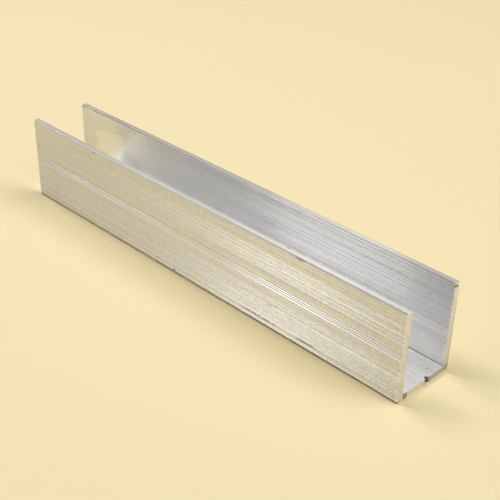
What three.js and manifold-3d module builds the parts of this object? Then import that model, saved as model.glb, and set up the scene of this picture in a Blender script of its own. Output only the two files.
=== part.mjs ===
// A short length of extruded aluminium U-channel, cut from bar stock.
//
// It is one piece of metal: a flat web with a leg standing up along each side. The section is
// pushed through a die, so everything on it runs the whole length: the small radius under each
// bottom corner, the eased lips of the legs, the tight fillets inside and the three fine scribe
// grooves on the outside of each leg, which guide a drill. Only the saw has touched the ends, and
// the end at +X has been knocked about: its web and the lip of one leg carry small nicks.
//
// Millimetres, +Z up. X runs along the length, Y across the web. The origin is on the floor,
// under the middle of the web.

import * as THREE from 'three';
import { mergeVertices } from 'three/addons/utils/BufferGeometryUtils.js';
import Module from 'manifold-3d';

// ---- driving dimensions ------------------------------------------------------------------

const LENGTH = 112; // of the cut piece
const WIDTH = 15.5; // across the web, outside the legs
const HEIGHT = 20; // from the underside of the web to the lips
const WEB_WALL = 1.3;
const LEG_WALL = 1.4;

const CORNER_RADIUS = 0.5; // outside, where each leg meets the web
const FILLET_RADIUS = 0.2; // inside the same corner
const LIP_RADIUS = 0.25; // on both edges of each lip
const ARC_STEPS = 6; // facets in each quarter circle

const GROOVE_COUNT = 3; // on the outside of each leg
const GROOVE_HEIGHT = 10.25; // from the underside to the middle groove
const GROOVE_PITCH = 0.52;
const GROOVE_WIDTH = 0.3; // at the mouth of the V
const GROOVE_DEPTH = 0.12;

// Nicks in the end at +X. The first three cut through the web and are placed from the outside of
// the leg at -Y. The last cuts the other leg and is placed down from its lip.
const WEB_NICKS = [
  { from_side: 1.95, width: 0.55, depth: 0.4 },
  { from_side: 2.55, width: 0.45, depth: 0.25 },
  { from_side: 8.9, width: 1.1, depth: 0.7 },
];
const LIP_NICK = { below_lip: 0.75, width: 0.7, depth: 0.35 };

const CUTTER_WALLS = 3; // how many wall thicknesses a nick's cutter spans, to pass both faces
const WELD_WITHIN = 1e-4; // points closer than this are one corner of a solid

// ---- the section -------------------------------------------------------------------------

const QUARTER = Math.PI / 2;

// The V-grooves of one leg, as points in the order the outline meets them. `face` is where the
// leg's outside lies, `inward` points into the metal and `upward` is the way the outline runs.
function addGrooves(outline, face, inward, upward) {
  const span = (GROOVE_COUNT - 1) * GROOVE_PITCH;
  for (let i = 0; i < GROOVE_COUNT; i += 1) {
    const middle = GROOVE_HEIGHT + upward * (i * GROOVE_PITCH - span / 2);
    outline.lineTo(face, middle - (upward * GROOVE_WIDTH) / 2);
    outline.lineTo(face + inward * GROOVE_DEPTH, middle);
    outline.lineTo(face, middle + (upward * GROOVE_WIDTH) / 2);
  }
}

// The outline runs counter-clockwise: along the underside, up and over one leg, along the inside
// and up and over the other. Its x is the distance across the web and its y the height.
function channelSection() {
  const right = WIDTH - LEG_WALL; // inside face of the leg at +Y
  const lip = HEIGHT - LIP_RADIUS;
  const floor = WEB_WALL + FILLET_RADIUS;

  const outline = new THREE.Shape();
  outline.moveTo(CORNER_RADIUS, 0);
  outline.absarc(WIDTH - CORNER_RADIUS, CORNER_RADIUS, CORNER_RADIUS, -QUARTER, 0, false);
  addGrooves(outline, WIDTH, -1, 1);
  outline.absarc(WIDTH - LIP_RADIUS, lip, LIP_RADIUS, 0, QUARTER, false);
  outline.absarc(right + LIP_RADIUS, lip, LIP_RADIUS, QUARTER, 2 * QUARTER, false);
  outline.absarc(right - FILLET_RADIUS, floor, FILLET_RADIUS, 0, -QUARTER, true);
  outline.absarc(LEG_WALL + FILLET_RADIUS, floor, FILLET_RADIUS, -QUARTER, -2 * QUARTER, true);
  outline.absarc(LEG_WALL - LIP_RADIUS, lip, LIP_RADIUS, 0, QUARTER, false);
  outline.absarc(LIP_RADIUS, lip, LIP_RADIUS, QUARTER, 2 * QUARTER, false);
  addGrooves(outline, 0, 1, -1);
  outline.absarc(CORNER_RADIUS, CORNER_RADIUS, CORNER_RADIUS, 2 * QUARTER, 3 * QUARTER, false);
  return outline;
}

// ---- nicks left in the sawn end ----------------------------------------------------------

// A V-shaped cutter in the section's frame. It opens on the end face at z = LENGTH and points back
// into the metal. It lies across the web, and a turn of a right angle lays it across a leg.
function nickCutter(nick, wall, across, up, turn) {
  const reach = nick.depth; // the V runs on past the face as far as it goes in
  const span = CUTTER_WALLS * wall;
  const outline = new THREE.Shape();
  outline.moveTo(0, -nick.depth);
  outline.lineTo(nick.width, reach);
  outline.lineTo(-nick.width, reach);
  outline.closePath();
  const cutter = new THREE.ExtrudeGeometry(outline, { depth: span, bevelEnabled: false });
  cutter.translate(0, 0, -span / 2);
  cutter.rotateX(QUARTER);
  cutter.rotateZ(turn);
  cutter.translate(across, up, LENGTH);
  return cutter;
}

// ---- joining and cutting -----------------------------------------------------------------

const wasm = await Module();
wasm.setup();

function toSolid(geometry) {
  const bare = geometry.clone();
  bare.deleteAttribute('normal');
  bare.deleteAttribute('uv');
  const merged = mergeVertices(bare, WELD_WITHIN);
  return new wasm.Manifold(new wasm.Mesh({
    numProp: 3,
    vertProperties: Float32Array.from(merged.attributes.position.array),
    triVerts: Uint32Array.from(merged.index.array),
  }));
}

function toGeometry(solid) {
  const mesh = solid.getMesh();
  const indexed = new THREE.BufferGeometry();
  indexed.setAttribute('position', new THREE.BufferAttribute(Float32Array.from(mesh.vertProperties), 3));
  indexed.setIndex(new THREE.BufferAttribute(Uint32Array.from(mesh.triVerts), 1));
  const geometry = indexed.toNonIndexed();
  geometry.computeVertexNormals();
  return geometry;
}

// ---- the channel -------------------------------------------------------------------------

function channelGeometry() {
  const bar = new THREE.ExtrudeGeometry(channelSection(), {
    depth: LENGTH,
    bevelEnabled: false,
    curveSegments: ARC_STEPS,
  });
  const cutters = WEB_NICKS.map((nick) => nickCutter(nick, WEB_WALL, nick.from_side, WEB_WALL / 2, 0));
  const legMiddle = WIDTH - LEG_WALL / 2;
  cutters.push(nickCutter(LIP_NICK, LEG_WALL, legMiddle, HEIGHT - LIP_NICK.below_lip, QUARTER));
  let solid = toSolid(bar);
  for (const cutter of cutters) {
    solid = solid.subtract(toSolid(cutter));
  }
  return toGeometry(solid);
}

const millFinish = new THREE.MeshStandardMaterial({
  color: new THREE.Color().setRGB(0.77, 0.77, 0.77, THREE.SRGBColorSpace),
  roughness: 0.35,
  metalness: 1,
});

const channel = new THREE.Mesh(channelGeometry(), millFinish);
channel.name = 'u_channel';
// The section's x, y and z become the model's Y, Z and X.
channel.rotation.set(QUARTER, QUARTER, 0);
channel.position.set(-LENGTH / 2, -WIDTH / 2, 0);

const model = new THREE.Group();
model.add(channel);

export default model;
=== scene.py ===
# %% [markdown]
# # A short length of aluminium channel
#
# The real object is one piece of raw stock: a U-shaped aluminium extrusion, sawn to length.
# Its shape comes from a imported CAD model, and this script dresses it. It makes a camera, a table
# top, soft lights and, above all, the finish of bare "mill finish" aluminium.
#
# Blender works in metres. The channel runs along X, its open side faces up (+Z), and its
# underside rests on the floor at Z = 0.

# %% Load the fixed frame
import math

import bpy
from mathutils import Matrix, Vector


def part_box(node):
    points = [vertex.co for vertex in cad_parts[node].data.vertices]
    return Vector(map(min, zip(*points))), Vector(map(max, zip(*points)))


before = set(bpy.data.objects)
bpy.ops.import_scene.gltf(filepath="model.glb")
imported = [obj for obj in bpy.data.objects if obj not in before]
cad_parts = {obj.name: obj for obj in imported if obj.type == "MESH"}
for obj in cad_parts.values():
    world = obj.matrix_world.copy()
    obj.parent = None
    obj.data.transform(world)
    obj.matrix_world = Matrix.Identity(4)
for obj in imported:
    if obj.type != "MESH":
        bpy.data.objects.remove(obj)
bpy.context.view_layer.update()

MM = 0.001

# %% [markdown]
# ## The channel's own measures
#
# The finish is painted by position, so the script has to know where each face lies. The frame
# tells how far the metal reaches, and the two wall thicknesses tell where the inner faces are.
# These measures are in millimetres, since a mark half a millimetre wide is easier to picture than
# one of 0.0005 metres.

# %% Measure the channel
low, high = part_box("u_channel")
print("lowest and highest corner in metres:", low, high)
END = high[0] / MM
SIDE = high[1] / MM
TOP = high[2] / MM
LEG_WALL = 1.4
WEB_WALL = 1.3
INNER = SIDE - LEG_WALL
print("ends at", END, "sides at", SIDE, "top at", TOP, "inner faces at", INNER)

# %% [markdown]
# ## The camera
#
# A camera can be placed by hand, but numbers that mean something are easier to change later.
# Here it looks at one point on the channel from an azimuth (round the object), an elevation
# (above the table) and a distance, and it is rolled by about a degree, as a hand-held camera is.
# A long lens keeps the two sides of the bar close to parallel.

# %% Place the camera
AIM = Vector((6.533, 3.465, 6.503)) * MM
AZIMUTH = math.radians(44.475)
ELEVATION = math.radians(31.043)
ROLL = math.radians(1.315)
DISTANCE = 215.12 * MM
SENSOR_WIDTH_MM = 36
LENS_MM = 71.75
NEAREST_SEEN = 0.01
FARTHEST_SEEN = 20

camera_data = bpy.data.cameras.new("camera")
camera_data.sensor_width = SENSOR_WIDTH_MM
camera_data.lens = LENS_MM
camera_data.clip_start = NEAREST_SEEN
camera_data.clip_end = FARTHEST_SEEN
camera = bpy.data.objects.new("camera", camera_data)
turn = Matrix.Rotation(AZIMUTH, 3, "Z") @ Matrix.Rotation(math.radians(90) - ELEVATION, 3, "X")
camera.rotation_euler = (turn @ Matrix.Rotation(ROLL, 3, "Z")).to_euler()
camera.location = AIM + turn @ Vector((0, 0, DISTANCE))
bpy.context.scene.collection.objects.link(camera)
bpy.context.scene.camera = camera
bpy.context.scene.view_settings.view_transform = "Standard"
print("camera at", [round(value, 4) for value in camera.location])

# %% [markdown]
# ## Writing shader maths as Python
#
# A material is a net of nodes. Adding each Math node by hand hides the idea behind the wiring,
# so one small class wraps the output of a node and gives it the ordinary signs + - * /.
# `1 - mask` then adds a Math node set to Subtract, and `make` adds any other node.

# %% A wrapper for one socket
class Signal:
    """One output of a shader node, which can be added to, multiplied and passed to other nodes."""

    def __init__(self, tree, socket=None):
        self.tree = tree
        self.socket = socket

    def make(self, kind, settings=None, inputs=None, output=0):
        """Adds a node: its settings are set first, then its inputs get their values or links."""
        node = self.tree.nodes.new(kind)
        for name, value in (settings or {}).items():
            setattr(node, name, value)
        for name, value in (inputs or {}).items():
            if isinstance(value, Signal):
                self.tree.links.new(value.socket, node.inputs[name])
            else:
                node.inputs[name].default_value = value
        return Signal(self.tree, node.outputs[output] if node.outputs else None)

    def math(self, operation, first, second=0.0):
        return self.make("ShaderNodeMath", {"operation": operation}, {0: first, 1: second})

    def __add__(self, other):
        return self.math("ADD", self, other)

    __radd__ = __add__

    def __sub__(self, other):
        return self.math("SUBTRACT", self, other)

    def __rsub__(self, other):
        return self.math("SUBTRACT", other, self)

    def __mul__(self, other):
        return self.math("MULTIPLY", self, other)

    __rmul__ = __mul__

    def __truediv__(self, other):
        return self.math("DIVIDE", self, other)

    def __rtruediv__(self, other):
        return self.math("DIVIDE", other, self)

    def __abs__(self):
        return self.math("ABSOLUTE", self)

print("shader maths is ready")

# %% Two kinds of mixing
# A Mix node has sockets for numbers, vectors and colours. These are the places of its colours.
FIRST_COLOUR = 6
SECOND_COLOUR = 7
MIXED_COLOUR = 2

def mix_colours(factor, first, second):
    """The first colour where the factor is 0, and the second where it is 1."""
    inputs = {"Factor": factor, FIRST_COLOUR: first, SECOND_COLOUR: second}
    return factor.make("ShaderNodeMix", {"data_type": "RGBA"}, inputs, MIXED_COLOUR)

def mix_shaders(factor, first, second):
    """The first shader where the factor is 0, and the second where it is 1."""
    return factor.make("ShaderNodeMixShader", {}, {0: factor, 1: first, 2: second})

print("mixing is ready")

# %% [markdown]
# ## Masks and noise
#
# Most of the finish is painted by position: a mask is 1 where something is and 0 elsewhere.
# `rise` goes smoothly from 0 to 1 as a value passes a place, `band` is 1 between two places, and
# `spot` is 1 inside an ellipse. A mask times a number adds that much of an effect.
#
# `noise` is soft and shapeless, and is stretched to make lines. `ripple` is a wave whose crests
# are pushed about by noise. Its lines are uneven but all about as wide, as the marks of one tool
# are, where plain noise also has blotches.

# %% Mask helpers
def rise(value, place, blur):
    """0 below place, 1 above it, with a smooth step as wide as blur."""
    limits = {"From Min": place - blur / 2, "From Max": place + blur / 2}
    step = {"interpolation_type": "SMOOTHSTEP"}
    return value.make("ShaderNodeMapRange", step, {"Value": value, **limits})

def band(value, start, stop, blur):
    """1 between start and stop, 0 outside them."""
    return rise(value, start, blur) * (1 - rise(value, stop, blur))

def spot(first, second, centre, size, blur=0.5):
    """1 inside an ellipse of that size, fading out over a share (blur) of its radius."""
    across = (first - centre[0]) / (size[0] / 2)
    along = (second - centre[1]) / (size[1] / 2)
    far = across * across + along * along
    return 1 - rise(far, 1, blur)

print("masks are ready")

# %% Noise helpers
SEED_STEP = (1, 1.7, 2.3)
NOISE_ROUGHNESS = 0.55
NOISE_MIDDLE = 0.5
NOISE_GAIN = 2.6

def noise(x, y, z, pitch, stretch=(1, 1, 1), detail=2.0, seed=0.0):
    """Smooth noise around 0, about -1 to 1, with grains of about one pitch. The stretch makes them
    longer along each axis, and the seed moves to another part of the same endless noise."""
    place = x.make("ShaderNodeCombineXYZ", {}, {
        "X": x / (pitch * stretch[0]) + SEED_STEP[0] * seed,
        "Y": y / (pitch * stretch[1]) + SEED_STEP[1] * seed,
        "Z": z / (pitch * stretch[2]) + SEED_STEP[2] * seed,
    })
    grain = x.make("ShaderNodeTexNoise", {"noise_dimensions": "3D"}, {
        "Vector": place,
        "Scale": 1.0,
        "Detail": detail,
        "Roughness": NOISE_ROUGHNESS,
    })
    return (grain - NOISE_MIDDLE) * NOISE_GAIN

def ripple(value, pitch, shift):
    """Waves from -1 to 1, about one pitch apart. Noise as the shift, in radians, makes them uneven."""
    return value.math("SINE", value * (2 * math.pi / pitch) + shift)

print("noise and ripples are ready")

# %% [markdown]
# ## The finish of bare aluminium
#
# Mill finish is what the metal looks like straight from the press. The die drags fine lines along
# the whole length, and handling adds fainter marks across them. An image of brushed metal could
# be wrapped round the bar, but it would stretch at the ends. Noise that is drawn out along X
# gives lines that never repeat and that stay the same size from any distance.
#
# First comes the position on the channel, in millimetres, and a mask for each of its faces: the
# sawn ends, the lips on top, the outsides and insides of the legs, and the inside of the web.

# %% Position and faces
metal = bpy.data.materials.new("mill_finish_aluminium")
metal.use_nodes = True
tree = metal.node_tree
tree.nodes.clear()
shade = Signal(tree)

place = shade.make("ShaderNodeTexCoord", {}, {}, "Object")
x = shade.make("ShaderNodeSeparateXYZ", {}, {"Vector": place}, "X") / MM
y = shade.make("ShaderNodeSeparateXYZ", {}, {"Vector": place}, "Y") / MM
z = shade.make("ShaderNodeSeparateXYZ", {}, {"Vector": place}, "Z") / MM
half_width = abs(y)

sawn = rise(abs(x), END - 0.02, 0.02)
drawn = 1 - sawn
lip = rise(z, TOP - 0.12, 0.16)
leg = rise(half_width, INNER - 0.03, 0.04)
upright = leg * (1 - lip) * rise(z, 0.25, 0.3) * drawn
outside = rise(half_width, SIDE - 0.3, 0.1) * upright
inside = (1 - rise(half_width, INNER + 0.05, 0.05)) * upright
web_inside = (1 - leg) * rise(z, WEB_WALL - 0.1, 0.1) * drawn
near_side = 1 - rise(y, 0, 1)
far_side = 1 - near_side
print("faces are masked")

# %% [markdown]
# ### Die lines
#
# Three kinds of line run the whole length, because the die draws all of them: soft streaks about a
# millimetre wide, die lines half as wide, and hair lines finer still. A grain of tiny dashes
# breaks them up, so that none of them is even. Across them run faint chatter marks, where the bar
# shook as it was stretched straight.
#
# Lines that run along X have to be told apart both up a leg and across the web. `across` changes
# over all of these faces, so one ripple serves them all.

# %% Lines along the length
across = y + z

streaks = noise(x, y, z, pitch=1.2, stretch=(300, 1, 1), detail=1.0, seed=3.0)
die_shift = noise(x, y, z, pitch=0.50, stretch=(400, 1, 1), detail=0.0, seed=17.0)
die_lines = ripple(across, 0.58, die_shift * 6)
fine_lines = noise(x, y, z, pitch=0.26, stretch=(240, 1, 1), detail=0.0, seed=23.0)
grain_shift = noise(x, y, z, pitch=0.50, stretch=(2.2, 1, 1), detail=1.0, seed=11.0)
grain = ripple(across, 0.46, grain_shift * 7)
print("lines are ready")

# %% Marks across the length, and slow changes
chatter_shift = noise(x, y, z, pitch=0.80, stretch=(1, 3.5, 3.5), detail=1.5, seed=41.0)
chatter = ripple(x, 0.60, chatter_shift * 7)
shiver = noise(x, y, z, pitch=1.9, stretch=(1, 5, 5), detail=1.0, seed=47.0)
cloud = noise(x, y, z, pitch=9.0, stretch=(1.6, 1, 1), detail=3.0, seed=31.0)
worn = 0.40 + rise(x, 10, 26) * 0.60
print("chatter is ready")

# %% [markdown]
# ### Bands
#
# The die doesn't wear evenly, so each face has its own bands. Where the metal came off the die
# smooth it mirrors what is round it. Where the die was rough the metal scatters the lamps' light
# and looks paler.
#
# The inner faces mirror the web and each other, so some stretches of them are lighter or darker.
# The lamps here give only part of that, and `inner_shade` paints the rest. It isn't a property of
# the metal: under other lamps, or seen from another side, it would be taken out.
#
# The outside of each leg has three fine grooves, which guide a drill. They are in the CAD model,
# and only painted highlight and shade on them, and painted shade beside them, are added.

# %% Smooth and pale bands on the legs
smooth_outside = (
    band(z, 11.3, 13.0, 0.9)
    + band(z, 17.3, 19.9, 1.1)
    + band(z, 7.6, 9.3, 1.0) * 0.7
    + band(z, 1.3, 1.7, 0.4) * 0.3
) * outside
pale_outside = (band(z, 13.2, 15.8, 1.2) + band(z, 3.2, 7.6, 1.4)) * outside
smooth_inside = band(z, 6.8, 11.6, 3.4) * inside
print("bands are ready")

# %% How much darker the inner faces are, by place
inner_shade = (
    band(z, 9.9, 14, 1.2) * band(x, -36, 12, 8) * 0.10
    + band(z, 14, 20, 1.2) * band(x, -32, 4, 8) * 0.05
    - band(z, 7.9, 9.8, 0.8) * 0.06
    - band(x, 12, 46, 9) * (rise(z, 12, 2) * 0.10 + rise(z, 16, 3) * 0.06)
    + rise(x, 47, 6) * 0.02
)
print("inner faces are shaded")

# %% Grooves and the painted shade beside them
GROOVE_PITCH = 0.52
MIDDLE_GROOVE = 10.25
LOWEST_GROOVE = MIDDLE_GROOVE - GROOVE_PITCH
HIGHEST_GROOVE = MIDDLE_GROOVE + GROOVE_PITCH
SHADE_STARTS = 0.09
SHADE_STOPS = 0.31

grooves = band(z, LOWEST_GROOVE - 0.23, HIGHEST_GROOVE + 0.18, 0.1) * outside
# Painted shade on the upper slope of each groove and the flat above it.
groove_painted_shade = sum(
    band(z, height + SHADE_STARTS, height + SHADE_STOPS, 0.08)
    for height in (LOWEST_GROOVE, MIDDLE_GROOVE, HIGHEST_GROOVE)
) * outside
print("grooves at", [LOWEST_GROOVE, MIDDLE_GROOVE, HIGHEST_GROOVE])

# %% [markdown]
# ### Smooth patches
#
# At one end of the far leg the inner face has two smooth patches, a large one and a small one under
# the lip. They mirror what is round them more clearly than the lined metal does. Each edge of a
# patch is a line that may lean, and the same noise is added to all of them, so that the outline
# wanders. Beside the large patch the face is a little darker.

# %% Smooth patches at one end of the far leg
ragged = noise(x, y, z, pitch=2.6, detail=3.0, seed=61.0) * 0.3
patch_left = -50.3 - (14 - z) * 0.15
patch_right = -40.2 + (z - 11.9) * 0.62
patch_top = 15.2 + (x + 50) * 0.12 + rise(x, -40.8, 0.8) * 0.6
big_patch = (
    rise(x - patch_left + ragged, 0, 0.9)
    * (1 - rise(x - patch_right + ragged, 0, 4.0))
    * (1 - rise(z - patch_top + ragged, 0, 0.45))
)
top_patch = (
    rise(x + ragged, -53.6, 0.8)
    * (1 - rise(x - (z - 18.6) * 1.3 + ragged, -45.8, 1.2))
    * rise(z + ragged * 0.5, 18.6, 0.4)
)
far_inside = inside * far_side
patch = (big_patch + top_patch * 0.6) * far_inside
darker_beside_patch = spot(x + (z - 10) * 0.3, z, (-37.5, 9.5), (8, 8), blur=1.2) * (1 - big_patch) * far_inside
print("patches are ready")

# %% [markdown]
# ### Saw marks
#
# The ends are cut with a saw, whose teeth leave fine parallel scratches. They lean, as they do when
# the blade comes down at a slant. Noise that is only stretched along Y would give level lines, so
# it is read at a sloping height instead of at Z.

# %% Saw marks on the two ends
SAW_SLOPE = 0.30
saw_height = y * SAW_SLOPE + z
saw_lines = noise(x, y * 0.02, saw_height, pitch=0.26, stretch=(60, 1, 1), detail=2.0, seed=53.0)
saw_swirl = noise(x, y, z, pitch=1.2, stretch=(60, 1, 1), detail=2.0, seed=59.0)
print("saw marks are ready")

# %% [markdown]
# ### Wear, small damage and painted light
#
# The saw leaves a burr round each end, and its glint is painted as a thin lighter edge, a painted
# highlight. The inner corners get painted shade, and the foot of the legs a painted contact shadow.
# The nicks, dots and scuffs are each placed where this length of stock has them. The larger nicks
# in the end are in the CAD model. What is painted there is shade in and beside them and along the
# far leg's outer edge, a darker end low down beyond the far nick, and two small stains.

# %% Edges and corners
broken = noise(x, y, z, pitch=0.9, detail=3.0, seed=71.0)
# The strip along each cut edge, painted lighter as the glint of the saw's burr: a painted highlight.
cut_edge_highlight = rise(abs(x), END - 0.26, 0.16) * drawn
lip_middle = band(half_width, INNER + 0.26, SIDE - 0.26, 0.08)
# The rounded lip edges are rougher, and painted darker further on: a painted shade that dims their
# highlight.
eased_lip = rise(z, TOP - 0.24, 0.06) * (1 - lip_middle) * drawn

# Painted shade along the inner corners where the web meets the legs, which are also rougher.
beside_leg = rise(half_width, INNER - 0.22, 0.1) * (1 - rise(half_width, INNER + 0.05, 0.1))
corner_height = (1 - rise(z, WEB_WALL + 0.2, 0.16)) * rise(z, WEB_WALL - 0.1, 0.1)
corner_shade_and_roughness = beside_leg * corner_height * drawn
# A painted contact shadow low on the outside of each leg.
foot_painted_shadow = (1 - rise(z, 0.42, 0.5)) * rise(half_width, SIDE - 0.9, 0.5)
foot_lines = (
    band(z, 0.8, 1.15, 0.25)
    + band(z, 2.1, 2.45, 0.25) * rise(x, 6, 24)
    - band(z, 1.3, 1.7, 0.3) * 0.3
)
print("edges and corners are ready")

# %% Nicks and dots on the lips and the web
lip_nick = spot(x, z, (30.8, 19.7), (2.4, 0.5)) * near_side * outside
lip_dot = spot(x, y, (26.7, -6.7), (0.5, 0.35)) * lip
lip_scratches = (
    spot(x, z, (50.6, 19.85), (1.6, 0.3)) + spot(x, z, (53.0, 19.85), (0.9, 0.3))
) * near_side * rise(y, -INNER - 0.3, 0.1)
web_dot = spot(x, y, (54.4, 3.55), (0.35, 0.35)) * web_inside
print("lips and web are marked")

# %% Dots and scuffs on the near leg
face_dots = (
    spot(x, z, (-32.8, 19.4), (1.3, 0.5))
    + spot(x, z, (-11.2, 1.4), (0.7, 0.4))
    + spot(x, z, (43.6, 14.6), (1.5, 0.5)) * rise(broken, 0.1, 0.6)
    + spot(x, z, (28.9, 5.3), (1.3, 0.6)) * rise(broken, 0.2, 0.5)
    + spot(x, z, (30.2, 7.3), (1.1, 0.6)) * rise(broken, 0.1, 0.5)
    + spot(x, z, (23.4, 5.6), (1.5, 0.6)) * rise(broken, 0.1, 0.5)
) * near_side * outside
foot_scuffs = (
    spot(x, z, (-5.6, 0.75), (1.0, 0.5))
    + spot(x, z, (20.4, 1.6), (10.0, 0.5)) * rise(broken, -0.1, 0.6)
    + spot(x, z, (33.4, 1.65), (5.6, 0.5)) * rise(broken, -0.3, 0.6)
) * near_side * rise(half_width, SIDE - 0.3, 0.1)
print("near leg is marked")

# %% Painted shade, a chip and stains at the knocked end
# Painted shade on the faces inside the two nicks in the web's end.
nick_painted_shade = (
    band(y, -6.1, -4.9, 0.2) * 0.7
    + band(y, 0.45, 1.85, 0.2)
) * (1 - rise(z, WEB_WALL - 0.04, 0.06)) * rise(x, END - 0.9, 0.2) * drawn
lip_chip = (
    band(z, 18.6, 19.8, 0.2)
    * band(y, INNER + 0.06, SIDE - 0.06, 0.06)
    * rise(x, END - 0.4, 0.1)
    * drawn
)
# Stains, and painted shade beside the nicks and along the far leg's outer edge. The end is also darker
# low down, beyond the far nick.
end_stains_and_shade = (
    rise(y, 1.7, 0.5) * (1 - rise(z, 1.4, 0.3)) * 0.30
    + band(y, 0.3, 2.0, 0.3) * (1 - rise(z, 1.4, 0.2)) * 0.35
    + band(y, -6.2, -4.8, 0.3) * (1 - rise(z, 1.4, 0.2)) * 0.3
    + rise(y, SIDE - 0.3, 0.2) * (1 - rise(z, 15, 3)) * 0.25
    + spot(y, z, (7.2, 19.35), (0.5, 0.5)) * 0.6
    + spot(y, z, (6.5, 16.8), (0.25, 0.9)) * 0.4
) * sawn * rise(x, 0, 1)
# The lower half of this end is darker all over. That is a shade, and no stain.
end_shade = band(z, 2, 12, 3) * (near_side * 0.05 + far_side * 0.07) * sawn * rise(x, 0, 1)
print("knocked end is marked")

# %% All the marks and painted shade together
marks = (
    lip_nick * 0.42
    + lip_dot * 0.6
    + lip_scratches * 0.5
    + web_dot * 0.75
    + face_dots * 0.3
    + foot_scuffs * 0.55
    + nick_painted_shade * 0.75
    + lip_chip * 0.6
    + end_stains_and_shade
    + end_shade
)
print("marks are ready")

# %% [markdown]
# ### Texture, brightness and roughness
#
# The lines show in three ways: they change how bright the metal is, how rough it is and, very
# slightly, its height. They are strongest towards the end that is worn most. On the inner faces
# they are also painted stronger where the lamps glint on them, a painted highlight. In the smooth
# bands they are weak, and the chatter shows more.
#
# The base colour of a metal is the colour of its reflections. So brightness starts from one even
# value, and each mask adds a little or takes a little away. Not all of it is the metal's own. Like
# `inner_shade`, the last four lines of the sum, for the lips, make up for what the lamps here don't
# do. They were set by measuring, for the camera's side of the bar.

# %% Strength of the lines on each face
plain_metal = drawn * (1 - grooves)
outside_lines = (
    (streaks * 0.03 + die_lines * 0.13 + fine_lines * 0.20)
    * (0.5 + rise(x, 10, 26) * 0.5) * (1 - smooth_outside * 0.35)
    + grain * 0.14 * worn * (1 - smooth_outside * 0.55)
    + chatter * (0.025 + smooth_outside * 0.03) * (1 + cloud * 0.5)
)
# On the inner faces the lines are painted stronger between x 8 and 46 mm, a painted glint.
inside_lines = (
    (streaks * 0.03 + die_lines * 0.16 + fine_lines * 0.24)
    * (0.2 + rise(x, -38, 10) * 0.2 + band(x, 8, 46, 14) * 0.6)
    + grain * 0.12 * (0.45 + rise(x, 8, 14) * 0.55 - rise(x, 47, 6) * 0.25)
) * (1 - patch * 0.8) * (1 - lip * 0.6)
texture = (outside_lines * outside + inside_lines * (1 - outside)) * plain_metal
print("texture is ready")

# %% Shine of the grooves
# The real grooves are duller at the left, and brighter from the middle on, than these slopes look
# under these lamps. This share paints the difference, and is below 0 where it dims them.
groove_shine = (
    rise(x, -42, 24) * 0.10
    + rise(x, -18, 22) * 0.27
    + band(x, -2, 14, 6) * 0.04
    - rise(x, 18, 12) * 0.07
    - band(x, 28, 44, 8) * 0.05
    - 0.24
)
print("shine of the grooves is ready")

# %% Brightness
BARE_BRIGHTNESS = 0.70
BRIGHTEST = 0.95

brightness = (
    BARE_BRIGHTNESS
    + sawn * 0.10
    # Painted light: the web is made lighter than bare metal, for light that the lamps here don't bring
    # into the channel.
    + web_inside * 0.11
    + inside * (0.04 - inner_shade)
    + outside * 0.02
    + patch * 0.06
    + foot_lines * 0.04 * outside
    # A painted highlight along the cut edges: the glint of the saw's burr.
    + cut_edge_highlight * 0.08 * rise(broken, -0.9, 0.8)
    - smooth_outside * 0.045
    - smooth_inside * 0.01
    - lip * far_side * (1 - band(x, 12, 44, 12)) * 0.12
    - lip * far_side * rise(x, 45, 6) * 0.06
    + lip * far_side * (1 - rise(x, -47, 8)) * 0.10
    + lip * near_side * band(x, -24, -6, 8) * 0.05
) * (1 + texture) * (1 + cloud * 0.02) * (1 + shiver * 0.02 * outside)
brightness = brightness * (1 + (saw_lines * 0.12 + saw_swirl * 0.08) * sawn)
# Painted shade in the inner corners, a painted contact shadow along the foot, and the marks, which
# include painted shade at the knocked end.
brightness = brightness * (1 - corner_shade_and_roughness * 0.42) * (1 - foot_painted_shadow * 0.3) * (1 - marks)
# Painted shade beside the grooves, and on the rounded lip edges to dim their highlight.
brightness = brightness * (1 - groove_painted_shade * (0.2 + rise(x, -5, 40) * 0.35)) * (1 - eased_lip * 0.4)
brightness = brightness * (1 + grooves * groove_shine) * (1 - darker_beside_patch * 0.16)
brightness = brightness.math("MINIMUM", brightness, BRIGHTEST)
print("brightness is never over", BRIGHTEST)

# %% Roughness and height
BARE_ROUGHNESS = 0.29

rough_lines = die_lines * 0.02 + grain * 0.02 + chatter * 0.01 + cloud * 0.01
roughness = (
    BARE_ROUGHNESS
    + outside * 0.11
    + pale_outside * 0.03
    + inside * (1 - rise(x, -34, 8)) * 0.02
    + web_inside * 0.13
    + sawn * 0.13
    + eased_lip * 0.34
    + die_lines * 0.01 * (inside + outside) * plain_metal
    + corner_shade_and_roughness * 0.3
    + rough_lines * outside * (1 - grooves) * (1 - smooth_outside)
    - smooth_outside * 0.105
    - patch * 0.06
    - grooves * 0.11
    + marks * 0.2
)
height = (
    streaks * 0.002 * plain_metal
    + shiver * 0.002 * outside * (1 - grooves)
    + saw_lines * 0.006 * sawn
    - marks * 0.03
)
print("metal nodes so far:", len(tree.nodes))

# %% [markdown]
# ### The metal
#
# All of it feeds one base colour, one roughness and one bump. Two Principled shaders share them.
# The upright faces use the second, which is anisotropic: fine lines along the bar spread each
# reflection across it, and leave it sharp along it. Bare metal is rarely quite neutral, so slow
# clouds turn it a trace cooler or warmer.

# %% Shaders
COOL = (0.985, 1.0, 1.02, 1)
WARM = (1.015, 1.0, 0.98, 1)
QUARTER_TURN = 0.25

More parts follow.
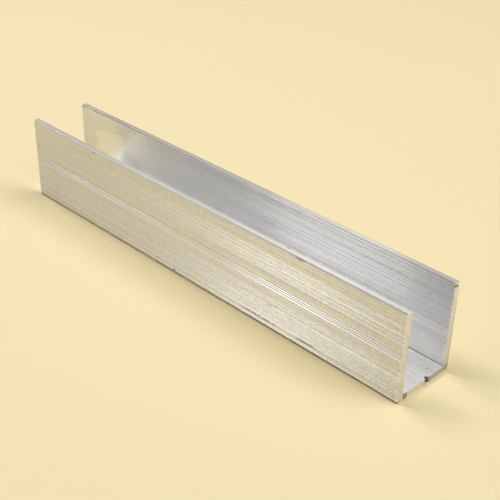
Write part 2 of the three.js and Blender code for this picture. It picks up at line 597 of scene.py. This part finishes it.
tint = mix_colours(cloud * 0.5 + 0.5, COOL, WARM)
colour = shade.make("ShaderNodeVectorMath", {"operation": "SCALE"}, {
    "Vector": tint,
    "Scale": brightness,
})
bump = shade.make("ShaderNodeBump", {}, {"Strength": 1.0, "Distance": MM, "Height": height})
finish = {"Base Color": colour, "Metallic": 1.0, "Roughness": roughness, "Normal": bump}
plain = shade.make("ShaderNodeBsdfPrincipled", {}, finish)
lined = shade.make("ShaderNodeBsdfPrincipled", {}, {
    **finish,
    "Anisotropic": 1.0,
    "Anisotropic Rotation": QUARTER_TURN,
})
surface = mix_shaders(upright, plain, lined)
shade.make("ShaderNodeOutputMaterial", {}, {"Surface": surface})
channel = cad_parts["u_channel"]
channel.material_slots[0].material = metal
print("metal nodes:", len(tree.nodes))

# %% [markdown]
# ## The table top and the backdrop
#
# The channel lies on plain matt paper. Bare metal shows what is round it, so the pale paper is
# also what its sides reflect.
#
# In a studio the paper curves up behind the object, so that no horizon shows. A curved sheet
# could be modelled, but the lamps light only the middle of it and its far parts would be dull.
# Here the floor is flat. Away from the middle it blends into a plain glow of the paper's colour,
# and the world glows in the same colour where the floor ends.
#
# A glow that large would also light the channel. A Light Path node tells a ray from the camera, or
# one that a mirror or glass passes on, from the rays that carry soft light. Only the first kinds
# see the glow.

# %% Paper colour, and who sees the glow
PAPER = (0.84, 0.72, 0.44, 1)
PAPER_SEEN = 1.0

def seen_directly(any_signal):
    """1 for the camera and for mirrors and glass, 0 for the light that the surface sends out."""
    return (
        any_signal.make("ShaderNodeLightPath", {}, {}, "Is Camera Ray")
        + any_signal.make("ShaderNodeLightPath", {}, {}, "Is Glossy Ray")
        + any_signal.make("ShaderNodeLightPath", {}, {}, "Is Transmission Ray")
    )

print("paper colour:", PAPER[:3])

# %% Floor mesh
import bmesh

FLOOR_REACH = 3
FLOOR_DROP = 0.02 * MM

floor_mesh = bpy.data.meshes.new("floor")
shape = bmesh.new()
bmesh.ops.create_grid(shape, x_segments=1, y_segments=1, size=FLOOR_REACH)
bmesh.ops.translate(shape, vec=(0, 0, -FLOOR_DROP), verts=shape.verts)
shape.to_mesh(floor_mesh)
shape.free()
floor = bpy.data.objects.new("floor", floor_mesh)
bpy.context.scene.collection.objects.link(floor)
print("floor reaches", FLOOR_REACH, "metres each way")

# %% Floor material
# These two lengths are in metres, like the Object coordinates that they are compared with.
GLOW_MIDDLE = 0.30
GLOW_BLUR = 0.36

paper = bpy.data.materials.new("pale_paper")
paper.use_nodes = True
paper.node_tree.nodes.clear()
sheet = Signal(paper.node_tree)
spread = sheet.make("ShaderNodeTexCoord", {}, {}, "Object")
reach = sheet.make("ShaderNodeVectorMath", {"operation": "LENGTH"}, {"Vector": spread}, "Value")
matt = sheet.make("ShaderNodeBsdfPrincipled", {}, {
    "Base Color": PAPER,
    "Roughness": 0.9,
    "Specular IOR Level": 0.2,
})
glow = sheet.make("ShaderNodeEmission", {}, {"Color": PAPER, "Strength": PAPER_SEEN})
glowing = rise(reach, GLOW_MIDDLE, GLOW_BLUR) * seen_directly(sheet)
sheet.make("ShaderNodeOutputMaterial", {}, {"Surface": mix_shaders(glowing, matt, glow)})
floor_mesh.materials.append(paper)
print("paper nodes:", len(paper.node_tree.nodes))

# %% [markdown]
# ## The room
#
# Bare metal would mirror a real studio, so the world is painted as one. Low down it is more paper,
# a little dimmer as it rises. Above that is a greyish room with one light wall on the far side,
# which gives the lips and the web their soft sheen. The light that the room itself gives is
# faint, and the lamps do nearly all of the lighting.

# %% World
ROOM_LIGHT = 0.1
UPPER_PAPER_SEEN = 0.72
WALL_SEEN = 0.97
ROOM_SEEN = 0.45
ROOM_AIR = (1.0, 0.98, 0.95, 1)

world = bpy.data.worlds.new("studio")
bpy.context.scene.world = world
world.use_nodes = True
world.node_tree.nodes.clear()
sky = Signal(world.node_tree)
direction = sky.make("ShaderNodeTexCoord", {}, {}, "Generated")
rising = sky.make("ShaderNodeSeparateXYZ", {}, {"Vector": direction}, "Z")
beyond = sky.make("ShaderNodeSeparateXYZ", {}, {"Vector": direction}, "Y")
above = rise(rising, 0.45, 0.04)
wall = rise(beyond, 0.4, 0.3) * (1 - rise(rising, 0.8, 0.3))
air_colour = mix_colours(above, PAPER, ROOM_AIR)
room_seen = ROOM_SEEN + wall * (WALL_SEEN - ROOM_SEEN)
paper_seen = PAPER_SEEN + rise(rising, 0.15, 0.3) * (UPPER_PAPER_SEEN - PAPER_SEEN)
all_seen = paper_seen + above * (room_seen - paper_seen)
strength = ROOM_LIGHT + seen_directly(sky) * (all_seen - ROOM_LIGHT)
air = sky.make("ShaderNodeBackground", {}, {"Color": air_colour, "Strength": strength})
sky.make("ShaderNodeOutputWorld", {}, {"Surface": air})
print("seen brightness of the paper, the wall and the room:", PAPER_SEEN, WALL_SEEN, ROOM_SEEN)

# %% [markdown]
# ## The lamps
#
# Softboxes are large flat lamps. On bare metal each one is seen as a bright shape, so its place and
# width decide where a highlight starts and ends. All of them stand a metre away and face the
# channel, so only two numbers place each one. The main one lights the scene, and the narrow ones
# each give some part of the metal a highlight of its own.

# %% Lamps
def softbox(name, along, over, size, power):
    """A rectangular lamp a metre away that faces the channel. Along is its place along the bar,
    from -1 to 1, and over is the angle over it, from 0 on the far side to 180 on the near side."""
    lamp = bpy.data.lights.new(name, "AREA")
    lamp.shape = "RECTANGLE"
    lamp.size = size[0]
    lamp.size_y = size[1]
    lamp.energy = power
    angle = math.radians(over)
    outward = math.sqrt(1 - along * along)
    away = Vector((along, outward * math.cos(angle), outward * math.sin(angle)))
    sideways = Vector((0, -math.sin(angle), math.cos(angle)))
    holder = bpy.data.objects.new(name, lamp)
    holder.location = away
    holder.rotation_euler = Matrix((sideways.cross(away), sideways, away)).transposed().to_euler()
    holder.visible_camera = False
    bpy.context.scene.collection.objects.link(holder)
    return holder

lamps = [
    softbox("main_softbox", along=0.49, over=73, size=(0.90, 0.50), power=6.5),
    softbox("top_softbox", along=-0.525, over=97, size=(0.14, 0.39), power=3.7),
    softbox("top_edge_softbox", along=-0.427, over=97, size=(0.083, 0.42), power=1.2),
    softbox("front_softbox", along=-0.555, over=124, size=(0.12, 0.90), power=1.05),
    softbox("back_softbox", along=-0.51, over=52, size=(0.06, 0.90), power=0.16),
    softbox("left_softbox", along=-0.73, over=121, size=(0.205, 0.27), power=0.35),
]
print("lit by", [lamp.name for lamp in lamps])
